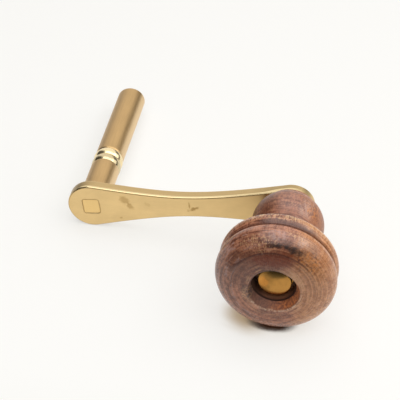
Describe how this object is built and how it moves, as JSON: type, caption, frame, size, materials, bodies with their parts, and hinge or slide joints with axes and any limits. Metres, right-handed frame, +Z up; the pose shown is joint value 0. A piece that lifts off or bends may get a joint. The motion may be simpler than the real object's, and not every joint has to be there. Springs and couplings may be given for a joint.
{
  "type": "clock winding key",
  "caption": "Crank key for winding a clock: a waisted flat brass arm with a round socketed winding shaft on one face and a turned wooden knob that spins freely on the other.",
  "frame": {"origin": "centre of the square winding socket's mouth, at the open end of the shaft", "axes": "+Y out of the socket's mouth towards the clock, +X along the arm from the winding shaft to the knob, +Z up across the arm"},
  "size_m": [0.0924, 0.1015, 0.0374],
  "materials": {
    "arm_brass": "satin, lightly marked",
    "shaft_brass": "drawn satin, beads polished",
    "spindle_brass": "satin",
    "knob_wood": "turned dark hardwood, satin polish"
  },
  "bodies": {
    "crank": {"crank_arm": "arm_brass", "winding_shaft": "shaft_brass", "knob_spindle": "spindle_brass", "arm_washer": "spindle_brass", "head_washer": "spindle_brass"},
    "grip": {"knob": "knob_wood", "knob_bush": "spindle_brass"}
  },
  "joints": [
    {"name": "knob_spin", "type": "hinge", "parent": "crank", "child": "grip", "pos_m": [0.066, -0.0782, 0], "axis": [0, 1, 0], "continuous": true}
  ]
}
